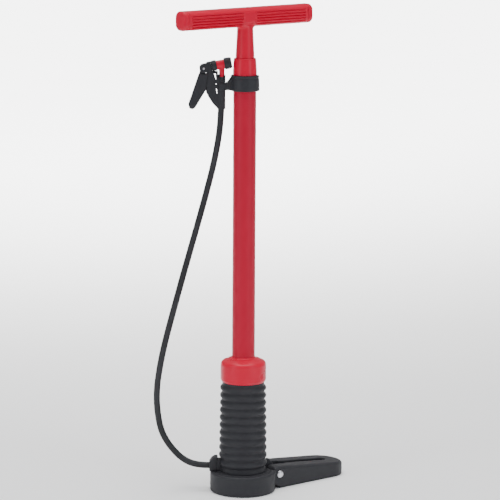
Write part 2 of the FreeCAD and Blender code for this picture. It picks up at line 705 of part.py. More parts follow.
def make_head_grip():
    """Grip moulded round the end of the hose: a thin sleeve and a web with three windows."""
    body = new_body("head_grip", head_frame)
    tall = as_size(553) - dim.sleeve_low
    sketch = new_sketch(body, "XY_Plane", dim.sleeve_low)
    ring(sketch, 0, 0, dim.sleeve_radius)
    extrude(body, "Pad", sketch, tall, False)
    pad(body, "XZ_Plane", [(1, 549), (5.4, 549), (8, 554.4), (19.0, 554.4), (21.0, 534), (20.2, 530),
                           (16.4, 523), (12.4, 516.8), (8.7, 512.3), (5, dim.sleeve_low + 0.3),
                           (1, dim.sleeve_low + 0.3)], dim.grip_half * 2)
    pocket(body, "XZ_Plane", [(6.6, 556), (11, 556), (8.2, 546)], 20)
    pocket(body, "XZ_Plane", [(6.3, 535), (7.6, 535), (5.6, 526)], 20)
    cross_hole(body, "XZ_Plane", 7.2, 540.5, 0.9, 20)
    hole_from(body, "XY_Plane", 0, 0, dim.hose_radius + 0.05, 500, 60)


# ---------------------------------------------------------------- hose

# The hose's route in the hose-side plane: distance from the pump's axis, height.
HOSE_ROUTE = [
    (44.5, 33.5), (60, 33.5), (78.5, 40.5), (95, 57), (108.3, 78.5), (113.6, 106), (114.8, 134), (111, 164),
    (104, 199), (92.5, 243), (78.8, 294), (64.6, 345), (50.6, 396), (37.2, 450), (30, 500), (30, 552.3)]


def hose_path(route):
    """Straight runs joined by tangent arcs, each as large as its two runs allow."""
    corners = [Vector(out, 0, up) for out, up in route]
    edges = []
    start = corners[0]
    for before, corner, after in zip(corners, corners[1:], corners[2:]):
        inward = (before - corner).normalize()
        outward = (after - corner).normalize()
        turn = math.pi - inward.getAngle(outward)
        reach = 0.45 * min(before.distanceToPoint(corner), after.distanceToPoint(corner))
        radius = reach / math.tan(turn / 2)
        arc_start = corner + inward * reach
        arc_end = corner + outward * reach
        bisector = (inward + outward).normalize()
        middle = corner + bisector * (radius / math.cos(turn / 2) - radius)
        edges.append(Part.LineSegment(start, arc_start).toShape())
        edges.append(Part.Arc(arc_start, middle, arc_end).toShape())
        print(f"hose bend at {corner.x:.0f}, {corner.z:.0f}: radius {radius:.0f}")
        start = arc_end
    edges.append(Part.LineSegment(start, corners[-1]).toShape())
    return Part.Wire(edges)


def make_hose():
    path = hose_path(HOSE_ROUTE)
    radius = dim.hose_radius.value
    first = path.Edges[0]
    tangent = first.tangentAt(first.FirstParameter)
    start = first.valueAt(first.FirstParameter)
    section = Part.Wire([Part.Circle(start, tangent, radius).toShape()])
    hose = doc.addObject("Part::Feature", "hose")
    hose.Label = "hose"
    hose.Shape = path.makePipeShell([section], True, False)
    hose.Placement = hose_side
    sub_parts.append(hose)
    expected = math.pi * radius ** 2 * path.Length
    print(f"hose length {path.Length:.1f}, volume {hose.Shape.Volume:.0f}, expected {expected:.0f}")


# ---------------------------------------------------------------- build and write

def build():
    make_base_cup()
    make_base_pad()
    make_base_screws()
    make_valve_block()
    make_valve_parts()
    make_ribbed_housing()
    make_housing_collar()
    make_barrel_parts()
    make_clip()
    make_rod_and_piston()
    make_handle()
    make_handle_end("handle_end_left", -1)
    make_handle_end("handle_end_right", 1)
    make_pedal()
    make_pedal_pin()
    make_head_body()
    make_nozzle()
    make_lever_housing()
    make_lever()
    make_head_grip()
    make_hose()
    doc.recompute()


def check():
    for item in doc.Objects:
        if "Invalid" in item.State or "Error" in item.State:
            raise RuntimeError(f"{item.Label} failed: {item.State}")
    for part in sub_parts:
        if part.Shape.isNull() or not part.Shape.isValid():
            raise RuntimeError(f"{part.Label} has no valid shape")


def write():
    os.makedirs("parts", exist_ok=True)
    for part in sub_parts:
        part.Shape.exportStep(f"parts/{part.Label}.step")
        box = part.Shape.BoundBox
        print(f"{part.Label:22s} solids {len(part.Shape.Solids)}  volume {part.Shape.Volume / 1000:8.2f} cm3"
              f"  z {box.ZMin:.1f} to {box.ZMax:.1f}")


build()
check()
write()
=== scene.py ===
# %% [markdown]
# # A floor pump for bicycle tyres
# The working model of the pump comes in as a fixed frame of named nodes and bodies. This notebook gives it
# its looks. Most pieces that show are built again with finer edges, mouldings and grooves. The others keep
# the shape they came with, and every piece gets a procedural finish. The frame's lengths are in metres, and
# the shapes here are written in millimetres. The pump stands on its base at the origin, +Z up, with the foot
# pedal along +X.

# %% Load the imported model
import json
import math

import bmesh
import bpy
import numpy as np
from mathutils import Matrix, Quaternion, Vector


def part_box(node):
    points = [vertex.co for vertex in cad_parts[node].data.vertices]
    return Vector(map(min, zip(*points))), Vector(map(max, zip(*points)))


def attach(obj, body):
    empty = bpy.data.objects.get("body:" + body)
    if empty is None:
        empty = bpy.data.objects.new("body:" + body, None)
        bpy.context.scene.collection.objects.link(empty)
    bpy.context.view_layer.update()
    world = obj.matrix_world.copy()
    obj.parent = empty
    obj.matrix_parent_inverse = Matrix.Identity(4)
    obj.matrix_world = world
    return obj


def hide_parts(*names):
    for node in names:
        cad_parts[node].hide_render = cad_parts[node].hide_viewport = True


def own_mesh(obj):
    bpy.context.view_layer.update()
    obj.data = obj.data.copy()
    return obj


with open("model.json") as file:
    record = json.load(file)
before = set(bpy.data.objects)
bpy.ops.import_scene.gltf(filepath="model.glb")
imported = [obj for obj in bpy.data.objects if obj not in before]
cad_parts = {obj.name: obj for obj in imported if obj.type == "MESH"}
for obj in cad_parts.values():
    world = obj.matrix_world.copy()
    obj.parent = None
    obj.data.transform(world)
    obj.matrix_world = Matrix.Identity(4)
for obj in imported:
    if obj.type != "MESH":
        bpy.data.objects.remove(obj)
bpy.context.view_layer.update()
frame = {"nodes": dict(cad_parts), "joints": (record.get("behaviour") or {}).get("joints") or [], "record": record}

nodes = frame["nodes"]
joints = {joint["name"]: joint for joint in frame["joints"]}
mm = 0.001

# %% [markdown]
# The hose side of the pump lies in one upright plane through the pump's axis. The lever pin is in that plane,
# so its place gives the plane's direction. The head is drawn in a frame whose X points away from the pump
# along that plane, with its origin on the stem's axis and the stem's foot at a fixed height. The nozzle has a
# frame of its own, whose Z runs along the nozzle and whose X points up.

# %% Frames for the hose side, the head and the nozzle
lever_pin = Vector(joints["lever_flip"]["pos_m"])
hose_angle = math.atan2(lever_pin.y, lever_pin.x)
hose_side = Matrix.Rotation(hose_angle, 4, "Z")
STEM_FOOT = 550


def middle(node):
    low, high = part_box(node)
    return (low + high) / 2


stem_middle = middle("hose_fitting")
stem_out = math.hypot(stem_middle.x, stem_middle.y)
head_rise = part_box("hose_fitting")[0].z - STEM_FOOT * mm
head_frame = hose_side @ Matrix.Translation((stem_out, 0, head_rise))
pin_local = head_frame.inverted() @ lever_pin
nozzle_way = Vector(joints["chuck_press"]["axis"]).normalized()
across = hose_side @ Vector((0, 1, 0))
nozzle_up = across.cross(nozzle_way)
seal_middle = middle("nozzle_seal")
stem_gap = (Vector((stem_middle.x, stem_middle.y, 0)) - seal_middle).to_2d().length
to_stem = stem_gap / nozzle_way.to_2d().length
nozzle_root = seal_middle - nozzle_way * to_stem
nozzle_frame = Matrix.Translation(nozzle_root) @ Matrix((nozzle_up, across, nozzle_way)).transposed().to_4x4()
print(f"hose side at {math.degrees(hose_angle):.1f} degrees, stem {stem_out / mm:.1f} mm out")

# %% [markdown]
# The camera stands well back and a little above, so that the base shows its round top while the handle is
# seen almost level. A long lens keeps the barrel's sides parallel.

# %% Camera
VIEW_TURN = math.radians(-38.5)
VIEW_LIFT = math.radians(10.4)
VIEW_DISTANCE = 3.45
LEAN = math.radians(0.34)
AIM_ASIDE = 0.0079
AIM_UP = 0.3244
LENS = 189.5
SENSOR = 36


def around_pump(turn, lift, distance):
    """A step of distance away from the pump: turn goes round it from the front, lift goes up."""
    way = Vector((math.sin(turn) * math.cos(lift), -math.cos(turn) * math.cos(lift), math.sin(lift)))
    return way * distance


aim = Vector((math.cos(VIEW_TURN), math.sin(VIEW_TURN), 0)) * AIM_ASIDE + Vector((0, 0, AIM_UP))
back = around_pump(VIEW_TURN, VIEW_LIFT, 1)
camera_data = bpy.data.cameras.new("camera")
camera_data.lens = LENS
camera_data.sensor_width = SENSOR
camera = bpy.data.objects.new("camera", camera_data)
camera.location = aim + back * VIEW_DISTANCE
camera.rotation_euler = (back.to_track_quat("Z", "Y") @ Quaternion((0, 0, 1), LEAN)).to_euler()
bpy.context.scene.collection.objects.link(camera)
bpy.context.scene.camera = camera
print(f"camera at {tuple(round(value, 2) for value in camera.location)}")

# %% [markdown]
# The hose leaves the port on the base level, swings outward, then rises in one long lazy bow to the clip at
# the barrel's top. It is a smooth spline pulled along by its control points, which are the same route as in
# the working model: distance from the pump's axis, and height. The curve's bevel depth is one, so
# each control's radius is the hose's own radius in metres.

# %% Hose
HOSE_ROUTE = [
    (44.5, 33.5), (60, 33.5), (78.5, 40.5), (95, 57), (108.3, 78.5), (113.6, 106), (114.8, 134), (111, 164),
    (104, 199), (92.5, 243), (78.8, 294), (64.6, 345), (50.6, 396), (37.2, 450), (30, 500), (30, 552.3)]
HOSE_DIAMETER = 8.4 * mm


def open_curve(name, points, radius):
    """A smooth round bar along one open spline through control points."""
    curve = bpy.data.curves.new(name, "CURVE")
    curve.dimensions = "3D"
    spline = curve.splines.new("NURBS")
    spline.points.add(len(points) - 1)
    for control, place in zip(spline.points, points):
        control.co = (*place, 1)
        control.radius = radius
    spline.order_u = 3
    spline.use_endpoint_u = True
    curve.resolution_u = 16
    curve.bevel_depth = 1
    curve.bevel_resolution = 8
    curve.use_fill_caps = True
    thing = bpy.data.objects.new(name, curve)
    bpy.context.scene.collection.objects.link(thing)
    return thing


route = [hose_side @ Vector((out * mm, 0, up * mm)) for out, up in HOSE_ROUTE]
hose = open_curve("hose_rubber", route, HOSE_DIAMETER / 2)
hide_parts("hose")
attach(hose, "root")
print(f"hose leaves the base at {tuple(round(value, 3) for value in route[0])}")

# %% [markdown]
# Finishes are node materials. Writing the shader's arithmetic as ordinary Python expressions keeps it
# readable, so a small class wraps a socket and turns operators into Math nodes. The other class holds one
# material and makes any further node in one call.

# %% Helpers for finishes
class Value:
    """A socket that can be used in arithmetic."""

    def __init__(self, finish, socket):
        self.finish = finish
        self.socket = socket

    def math(self, operation, first, second):
        return self.finish.node("ShaderNodeMath", {"operation": operation}, {0: first, 1: second})

    def __add__(self, other):
        return self.math("ADD", self, other)

    def __sub__(self, other):
        return self.math("SUBTRACT", self, other)

    def __mul__(self, other):
        return self.math("MULTIPLY", self, other)


class Finish:
    """One procedural material. Its shader's plain numbers are given by name."""

    def __init__(self, name, **numbers):
        self.material = bpy.data.materials.new(name)
        self.material.use_nodes = True
        self.tree = self.material.node_tree
        self.shader = self.tree.nodes["Principled BSDF"]
        for label, number in numbers.items():
            self.shader.inputs[label.replace("_", " ").title().replace("Ior", "IOR")].default_value = number
        self.place = self.node("ShaderNodeTexCoord", {}, {}, "Object")

    def node(self, kind, settings, sockets, output=0):
        made = self.tree.nodes.new(kind)
        for key, value in settings.items():
            setattr(made, key, value)
        for key, value in sockets.items():
            self.feed(made.inputs[key], value)
        return Value(self, made.outputs[output])

    def feed(self, socket, value):
        if isinstance(value, Value):
            self.tree.links.new(value.socket, socket)
        else:
            socket.default_value = value

    def set(self, label, value):
        self.feed(self.shader.inputs[label], value)

    def grain(self, scale, detail, stretch=(1, 1, 1)):
        """Smooth noise from 0 to 1, scale patches to the metre, stretched along an axis by a small factor."""
        spread = self.node("ShaderNodeVectorMath", {"operation": "MULTIPLY"}, {0: self.place, 1: stretch})
        return self.node("ShaderNodeTexNoise", {}, {"Vector": spread, "Scale": scale, "Detail": detail})

    def between(self, amount, low, high):
        """0 where amount is below low and 1 where it is above high, smoothly."""
        return self.node("ShaderNodeMapRange", {"interpolation_type": "SMOOTHSTEP"},
                         {"Value": amount, "From Min": low, "From Max": high})

    def mix(self, amount, first, second):
        return self.node("ShaderNodeMix", {"data_type": "RGBA"}, {"Factor": amount, 6: first, 7: second}, 2)

    def bump(self, height, strength, distance):
        sockets = {"Height": height, "Strength": strength, "Distance": distance}
        self.set("Normal", self.node("ShaderNodeBump", {}, sockets))


def rgb(red, green, blue):
    return (red, green, blue, 1.0)


# %% [markdown]
# Two reds are on this pump. The handle, caps and collar are glossy moulded plastic, with a faint ripple from
# the mould and fine handling scratches that show in the gloss. The barrel is an enamelled steel tube: a bit
# deeper in colour, with the fine orange peel of sprayed paint.

# %% Red finishes
def scratches(finish, scale, thin):
    """Short hairlines: ridges of stretched noise, kept only in some patches."""
    lines = finish.grain(scale, 6, thin)
    patches = finish.between(finish.grain(45, 2), 0.45, 0.7)
    return finish.between(lines, 0.66, 0.74) * patches


def red_moulding():
    finish = Finish("red_moulding", ior=1.45, specular_ior_level=0.25)
    cloud = finish.grain(38, 3)
    finish.set("Base Color", finish.mix(cloud, rgb(0.52, 0.001, 0.024), rgb(0.61, 0.002, 0.034)))
    marks = scratches(finish, 260, (1, 1, 0.12))
    finish.set("Roughness", finish.between(cloud, 0.2, 0.8) * 0.06 + marks * 0.14 + 0.26)
    ripple = finish.grain(420, 2) * 0.6 + finish.grain(2600, 2) * 0.25
    finish.bump(ripple - marks * 0.25, 0.10, 0.0004)
    return finish.material


def red_enamel():
    finish = Finish("red_enamel", ior=1.45, specular_ior_level=0.24)
    cloud = finish.grain(30, 3)
    finish.set("Base Color", finish.mix(cloud, rgb(0.40, 0.002, 0.022), rgb(0.46, 0.003, 0.030)))
    marks = scratches(finish, 320, (1, 1, 0.05))
    finish.set("Roughness", cloud * 0.07 + marks * 0.12 + 0.42)
    peel = finish.grain(1500, 2)
    finish.bump(peel - marks * 0.4, 0.08, 0.00025)
    return finish.material


red_plastic = red_moulding()
red_paint = red_enamel()
print("red finishes made")

# %% [markdown]
# The black mouldings have the fine spark-eroded grain of a steel mould, which breaks the gloss into a satin
# sheen. Rubber is duller and greyer, with a faint bloom in patches.

# %% Black finishes
def black_moulding(name, tone, rough):
    finish = Finish(name, ior=1.47, specular_ior_level=0.26)
    cloud = finish.grain(55, 4)
    finish.set("Base Color", finish.mix(cloud, rgb(tone, tone, tone * 1.2),
                                        rgb(tone * 1.5, tone * 1.5, tone * 1.7)))
    marks = scratches(finish, 300, (0.3, 1, 1))
    pits = finish.node("ShaderNodeTexVoronoi", {}, {"Vector": finish.place, "Scale": 1300}, "Distance")
    finish.set("Roughness", cloud * 0.12 + rough - marks * 0.12)
    finish.bump(pits * 0.8 + finish.grain(2400, 2) * 0.4, 0.22, 0.00012)
    return finish.material


def black_rubber_skin():
    finish = Finish("black_rubber_skin", ior=1.5, specular_ior_level=0.25)
    bloom = finish.between(finish.grain(26, 5), 0.35, 0.8)
    finish.set("Base Color", finish.mix(bloom, rgb(0.018, 0.018, 0.020), rgb(0.034, 0.034, 0.038)))
    finish.set("Roughness", bloom * 0.12 + 0.55)
    finish.bump(finish.grain(1900, 4), 0.3, 0.00012)
    return finish.material


black_plastic = black_moulding("black_moulding", 0.019, 0.46)
black_rubber = black_rubber_skin()
print("black finishes made")

# %% [markdown]
# Metals: zinc-plated steel with brushed hairlines, hard chrome on the rod with faint lengthwise polish marks,
# and turned brass for what sits inside the valve. The acetal of the piston is a milky white plastic.

# %% Metal and acetal finishes
def turned_metal(name, colour, dark, rough, stretch):
    finish = Finish(name, metallic=1.0)
    lines = finish.grain(900, 4, stretch)
    cloud = finish.grain(60, 3)
    finish.set("Base Color", finish.mix(cloud * 0.6, rgb(*colour), rgb(*dark)))
    finish.set("Roughness", lines * 0.12 + cloud * 0.06 + rough)
    finish.bump(lines, 0.08, 0.0001)
    return finish.material


def acetal_moulding():
    finish = Finish("acetal_moulding", ior=1.48, subsurface_weight=0.15)
    cloud = finish.grain(80, 3)
    finish.set("Base Color", finish.mix(cloud, rgb(0.76, 0.75, 0.70), rgb(0.68, 0.67, 0.62)))
    finish.set("Roughness", cloud * 0.1 + 0.35)
    finish.bump(finish.grain(1200, 2), 0.1, 0.0001)
    return finish.material


steel = turned_metal("zinc_steel", (0.72, 0.72, 0.75), (0.55, 0.55, 0.58), 0.22, (1, 1, 0.1))
chrome = turned_metal("hard_chrome", (0.80, 0.80, 0.82), (0.74, 0.74, 0.77), 0.06, (1, 1, 0.03))
brass = turned_metal("turned_brass", (0.78, 0.58, 0.26), (0.62, 0.44, 0.18), 0.24, (1, 1, 0.1))
acetal = acetal_moulding()
by_slot = {
    "red_gloss": red_plastic, "red_paint": red_paint, "black_plastic": black_plastic,
    "black_rubber": black_rubber, "steel": steel, "chrome_rod": chrome, "brass": brass, "acetal": acetal}


def dress(thing, material):
    thing.data.materials.clear()
    thing.data.materials.append(material)


slots = {part["node"]: part["material_slot"] for part in frame["record"]["subparts"]}
for node, thing in nodes.items():
    dress(thing, by_slot[slots[node]])
dress(hose, black_rubber)
print(f"{len(slots)} nodes dressed")

# %% [markdown]
# Many pieces of a pump are round: barrel, collar, cap, nuts, pins. They come from a closed profile of radius
# and height. A corner of the profile may be rounded by an arc, so that an edge that shows isn't knife sharp.

# %% Lathe helper
ARC_STEPS = 6
EDGE_SHARE = 0.49
ON_AXIS = 1e-6
TURNED_SHARP = 35


def soften(corners):
    """Points of a closed profile. A corner given as (x, y, radius) becomes an arc, which may use up to
    EDGE_SHARE of the shorter edge beside it."""
    count = len(corners)
    points = []
    for index, corner in enumerate(corners):
        spot = np.array(corner[:2], float)
        radius = corner[2] if len(corner) > 2 else 0
        if not radius:
            points.append(spot)
            continue
        before = np.array(corners[index - 1][:2], float) - spot
        after = np.array(corners[(index + 1) % count][:2], float) - spot
        before_way = before / np.linalg.norm(before)
        after_way = after / np.linalg.norm(after)
        half_turn = math.acos(np.clip(before_way @ after_way, -1, 1)) / 2
        reach = radius / math.tan(half_turn)
        limit = EDGE_SHARE * min(np.linalg.norm(before), np.linalg.norm(after))
        if reach > limit:
            reach = limit
            radius = reach * math.tan(half_turn)
        bisector = (before_way + after_way) / np.linalg.norm(before_way + after_way)
        centre = spot + bisector * radius / math.sin(half_turn)
        start = spot + before_way * reach - centre
        end = spot + after_way * reach - centre
        sweep = math.pi - 2 * half_turn
        turn = math.copysign(sweep, start[0] * end[1] - start[1] * end[0])
        for step in range(ARC_STEPS + 1):
            angle = turn * step / ARC_STEPS
            cos, sin = math.cos(angle), math.sin(angle)
            turned = [cos * start[0] - sin * start[1], sin * start[0] + cos * start[1]]
            points.append(centre + np.array(turned))
    return points


def finish_mesh(name, mesh, placing, slot, body, replaced, sharp):
    """Links a mesh in its place, shades it smooth up to a sharp angle in degrees, gives it its finish and
    lets it stand for its CAD nodes."""
    mesh.transform(placing)
    thing = bpy.data.objects.new(name, mesh)
    bpy.context.scene.collection.objects.link(thing)
    mesh.polygons.foreach_set("use_smooth", [True] * len(mesh.polygons))
    mesh.set_sharp_from_angle(angle=math.radians(sharp))
    dress(thing, by_slot[slot])
    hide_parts(*replaced)
    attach(thing, body)
    print(f"{name}: {len(mesh.polygons)} faces")
    return thing


def mesh_from(name, build):
    """Makes a mesh of what a bmesh has built, its faces turned outward."""
    bmesh.ops.recalc_face_normals(build, faces=build.faces)
    mesh = bpy.data.meshes.new(name)
    build.to_mesh(mesh)
    build.free()
    return mesh


def lathe(name, corners, around, slot, replaced, body="root", placing=Matrix()):
    """Turns a profile of (radius, height) in millimetres about Z, in around steps."""
    build = bmesh.new()
    rings = []
    turns = [2 * math.pi * step / around for step in range(around)]
    for radius, height in soften(corners):
        if radius < ON_AXIS:
            rings.append([build.verts.new((0, 0, height * mm))])
            continue
        rings.append([build.verts.new((radius * mm * math.cos(a), radius * mm * math.sin(a), height * mm))
                      for a in turns])
    pairs = list(zip(rings, rings[1:]))
    if len(rings[0]) > 1 or len(rings[-1]) > 1:
        pairs.append((rings[-1], rings[0]))
    for lower, upper in pairs:
        for step in range(around):
            following = (step + 1) % around
            corners_here = [lower[step % len(lower)], lower[following % len(lower)],
                            upper[following % len(upper)], upper[step % len(upper)]]
            unique = list(dict.fromkeys(corners_here))
            if len(unique) > 2:
                build.faces.new(unique)
    finish_mesh(name, mesh_from(name, build), placing, slot, body, replaced, TURNED_SHARP)


# %% [markdown]
# Barrel, guide cap, red collar and the ribbed housing are all turned. The cap has a plug that reaches down
# into the barrel, and a slightly flared skirt over it. The collar has a soft shoulder, a coned fillet up to
# the barrel and a chamfered lower edge.

# %% Barrel, cap and collar
BARREL_STEPS = 128
BARREL_IN, BARREL_OUT = 13.8, 15
PLUG_REACH = 10
barrel_low, barrel_high = (corner.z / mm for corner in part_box("barrel"))
lathe("barrel_tube", [
    (BARREL_IN, barrel_low), (BARREL_OUT, barrel_low), (BARREL_OUT, barrel_high), (BARREL_IN, barrel_high)],
    BARREL_STEPS, "red_paint", ["barrel"])
cap_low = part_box("barrel_cap")[0].z / mm + PLUG_REACH
lathe("guide_cap", [
    (8, 545), (13.7, 545), (13.7, 561), (15.06, 561), (15.06, cap_low), (15.85, cap_low, 0.5),
    (15.7, 559, 6), (14.75, 573.6, 3), (14.3, 576.9, 1.6), (12.75, 577.0, 0.5), (12.75, 574.2, 0.3),
    (7.6, 574.2, 0.3), (7.6, 571), (5.6, 571), (5.6, 557), (8, 557)],
    BARREL_STEPS, "red_gloss", ["barrel_cap"])
collar_low, collar_high = (corner.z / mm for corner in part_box("housing_collar"))
lathe("red_collar", [
    (15.08, 162), (26.2, 162), (26.2, collar_low + 8), (27.6, collar_low + 8), (27.6, collar_low),
    (28.6, collar_low, 0.5), (30.2, collar_low + 3.4, 1.6), (30.2, 175.2, 6.4), (20.8, 179.2, 8),
    (16.2, 180.9, 2.2), (15.5, collar_high, 0.4), (15.08, collar_high)],
    BARREL_STEPS, "red_gloss", ["housing_collar"])

# %% [markdown]
# The ribbed housing repeats one ring eleven times. Each ring is a rounded ridge, and the housing widens a
# little towards the base, so every ring is a touch larger than the one above it.

# %% Ribbed housing
RING_COUNT = 11
RING_PITCH = 10.15
TOP_RING = 139.8
TOP_CREST, CREST_GROWTH, CREST_HALF, CREST_ROUND = 30.4, 0.15, 1.1, 1.6
TOP_VALLEY, VALLEY_GROWTH, VALLEY_HALF, VALLEY_ROUND = 27.8, 0.2, 0.5, 1.2
HOUSING_STEPS = 144
housing = [(26, 27), (31.2, 27, 0.8)]
for ring in reversed(range(RING_COUNT)):
    height = TOP_RING - RING_PITCH * ring
    crest = TOP_CREST + CREST_GROWTH * ring
    valley = TOP_VALLEY + VALLEY_GROWTH * ring
    housing += [
        (valley, height - RING_PITCH / 2 + VALLEY_HALF, VALLEY_ROUND),
        (crest, height - CREST_HALF, CREST_ROUND),
        (crest, height + CREST_HALF, CREST_ROUND),
        (valley, height + RING_PITCH / 2 - VALLEY_HALF, VALLEY_ROUND)]
housing += [(27.5, collar_low - 2), (27.5, collar_low + 7.8), (26, collar_low + 7.8)]
lathe("ribbed_sleeve", housing, HOUSING_STEPS, "black_plastic", ["ribbed_housing"])

# %% [markdown]
# The other mouldings blend one form into another: the stem flows into the handle's bar, cheeks grow out of
# the base. Joining such forms with booleans leaves hard seams, so these pieces are cast from a field: a
# formula that is negative inside the piece. Soft unions and soft cuts give every joint its fillet. The skin
# is laid on a grid of cells where the field changes sign, then every vertex is pulled onto the surface.

# %% Field helpers
CAST_SHARP = 50
PULLS = 3
NUDGE = 0.05
LONGEST_PULL = 0.5
FLATTEST = 0.2


def soft_union(first, second, blend):
    """Both pieces as one, the joint between them filled by blend."""
    gap = np.clip(0.5 + 0.5 * (second - first) / blend, 0, 1)
    return second * (1 - gap) + first * gap - blend * gap * (1 - gap)


def soft_cut(base, tool, blend):
    """Base with tool taken away, its new edges rounded by blend."""
    return -soft_union(-base, tool, blend)


def soft_both(first, second, blend):
    """What lies inside both pieces, its new edges rounded by blend."""
    return -soft_union(-first, -second, blend)


def block(x, y, z, half, corner):
    """A box about the origin with edges rounded by corner."""
    reach = [np.abs(value) - extent + corner for value, extent in zip((x, y, z), half)]
    outside = np.sqrt(sum(np.maximum(value, 0) ** 2 for value in reach))
    inside = np.minimum(np.maximum(np.maximum(reach[0], reach[1]), reach[2]), 0)
    return outside + inside - corner


def plate(across_it, profile_field, half, corner):
    """A flat piece: a field in its plane, thickened to half each side, with rounded edges."""
    flat = profile_field + corner
    thick = np.abs(across_it) - half + corner
    outside = np.sqrt(np.maximum(flat, 0) ** 2 + np.maximum(thick, 0) ** 2)
    inside = np.minimum(np.maximum(flat, thick), 0)
    return outside + inside - corner


def rod(distance, along_it, radius, low, high, corner):
    """A round bar with rounded ends, from its distance to the axis and the place along it."""
    return plate(along_it - (low + high) / 2, distance - radius, (high - low) / 2, corner)


def polygon(x, y, corners):
    """Distance to a closed outline, negative inside."""
    nearest = np.full(x.shape, 1e9)
    sign = np.ones(x.shape)
    previous = corners[-1]
    for corner in corners:
        edge_x, edge_y = previous[0] - corner[0], previous[1] - corner[1]
        away_x, away_y = x - corner[0], y - corner[1]
        share = np.clip((away_x * edge_x + away_y * edge_y) / (edge_x ** 2 + edge_y ** 2), 0, 1)
        nearest = np.minimum(nearest, (away_x - edge_x * share) ** 2 + (away_y - edge_y * share) ** 2)
        above, below = y >= corner[1], y < previous[1]
        left = edge_x * away_y > edge_y * away_x
        flip = (above & below & left) | (~above & ~below & ~left)
        sign = np.where(flip, -sign, sign)
        previous = corner
    return sign * np.sqrt(nearest)


def cast(name, field, low, high, cell, slot, replaced, body="root", placing=Matrix()):
    """Lays a skin over field(x, y, z) in millimetres between two corners of a box, in cells of one size or of
    three."""
    sizes = np.broadcast_to(cell, 3)
    axes = [np.arange(start - 1.5 * size, stop + 2.5 * size, size)
            for start, stop, size in zip(low, high, sizes)]
    grid = np.meshgrid(*axes, indexing="ij")
    value = field(*grid)
    cells = tuple(count - 1 for count in value.shape)
    total = np.zeros(cells + (3,))
    count = np.zeros(cells)
    edges = []
    for axis in range(3):
        first = np.take(value, range(value.shape[axis] - 1), axis)
        second = np.take(value, range(1, value.shape[axis]), axis)
        crossing = np.argwhere((first < 0) != (second < 0))
        here = tuple(crossing.T)
        share = first[here] / (first[here] - second[here])
        spot = np.stack([axes[i][crossing[:, i]] for i in range(3)], 1)
        spot[:, axis] += share * sizes[axis]
        others = [i for i in range(3) if i != axis]
        around = []
        for step_a, step_b in ((0, 0), (1, 0), (1, 1), (0, 1)):
            owner = crossing.copy()
            owner[:, others[0]] -= step_a
            owner[:, others[1]] -= step_b
            around.append(owner)
            np.add.at(total, tuple(owner.T), spot)
            np.add.at(count, tuple(owner.T), 1)
        edges.append((np.stack(around, 1), (first[here] < 0) != (axis == 1)))
    used = count > 0
    number = np.full(cells, -1)
    number[used] = np.arange(used.sum())
    points = total[used] / count[used][:, None]
    faces = []
    for around, outward in edges:
        quads = number[around[..., 0], around[..., 1], around[..., 2]]
        faces.append(np.where(outward[:, None], quads, quads[:, ::-1]))
    faces = np.concatenate(faces)
    smallest = sizes.min()
    nudge = smallest * NUDGE
    for _ in range(PULLS):
        now = field(*points.T)
        slope = np.stack([(field(*(points + step).T) - field(*(points - step).T)) / (2 * nudge)
                          for step in np.eye(3) * nudge], 1)
        move = -(now / np.maximum((slope ** 2).sum(1), FLATTEST))[:, None] * slope
        reach = np.linalg.norm(move, axis=1, keepdims=True)
        points += move * np.minimum(1, LONGEST_PULL * smallest / np.maximum(reach, 1e-9))
    mesh = bpy.data.meshes.new(name)
    mesh.from_pydata((points * mm).tolist(), [], faces.tolist())
    mesh.update()
    finish_mesh(name, mesh, placing, slot, body, replaced, CAST_SHARP)


# %% [markdown]
# The handle is one hard plastic moulding. Its bar has finger grooves along the front and the back. They stop
# short of the ends, and leave a smooth band in the middle over the stem. Bar and stem are joined with a
# fillet. Each end of the bar is closed by a cap with a raised lip.

# %% Handle
BAR_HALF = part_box("handle")[1].x / mm
BAR_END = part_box("handle_end_right")[1].x / mm - BAR_HALF
BAR_UP = 630.0
BAR_HALF_SECTION = (11.0, 12.5, 1e3)
BAR_CORNER = 8.5
GROOVE_PITCH = 3.5
GROOVE_DEPTH = 1.5
GROOVE_LOW, GROOVE_HIGH = -9.6, 7.2
SMOOTH_BAND = 11.5
BAR_BLEND = 4.5
BORE_WIDE, BORE_NARROW, BORE_STEP, BORE_END = 7.9, 5.0, 577.5, 614


def bar_section(y, z):
    """Outline of the bar across its length, tall and rounded."""
    return block(y, z, np.zeros_like(y), BAR_HALF_SECTION, BAR_CORNER)


def band(value, low, high, fade):
    """One between low and high, falling to zero over fade outside."""
    return np.clip((value - low) / fade + 1, 0, 1) * np.clip((high - value) / fade + 1, 0, 1)


def handle_field(x, y, z):
    up = z - BAR_UP
    grooves = (0.5 - 0.5 * np.cos(2 * np.pi * (up + 10) / GROOVE_PITCH)) ** 1.5
    grooves = grooves * band(up, GROOVE_LOW, GROOVE_HIGH, 0.4)
    grooves = grooves * band(np.abs(x), SMOOTH_BAND, BAR_HALF - 5, 1.2) * (np.abs(y) > 5)
    bar = plate(x, bar_section(y, up) + GROOVE_DEPTH * grooves, BAR_HALF, 0.9)
    radius = np.interp(z, [574, 578.5, 616, 645], [12.3, 12.3, 10.5, 10.2])
    stem = rod(np.hypot(x, y), z, radius, 574.8, 619, 0.8)
    whole = soft_union(bar, stem, BAR_BLEND)
    bore = np.maximum(np.hypot(x, y) - np.where(z < BORE_STEP, BORE_WIDE, BORE_NARROW), z - BORE_END)
    return np.maximum(whole, -bore)


cast("handle_moulding", handle_field, (-BAR_HALF, -13, 574), (BAR_HALF, 13, 643), (1.2, 0.5, 0.4),
     "red_gloss", ["handle"], "rod_and_handle")


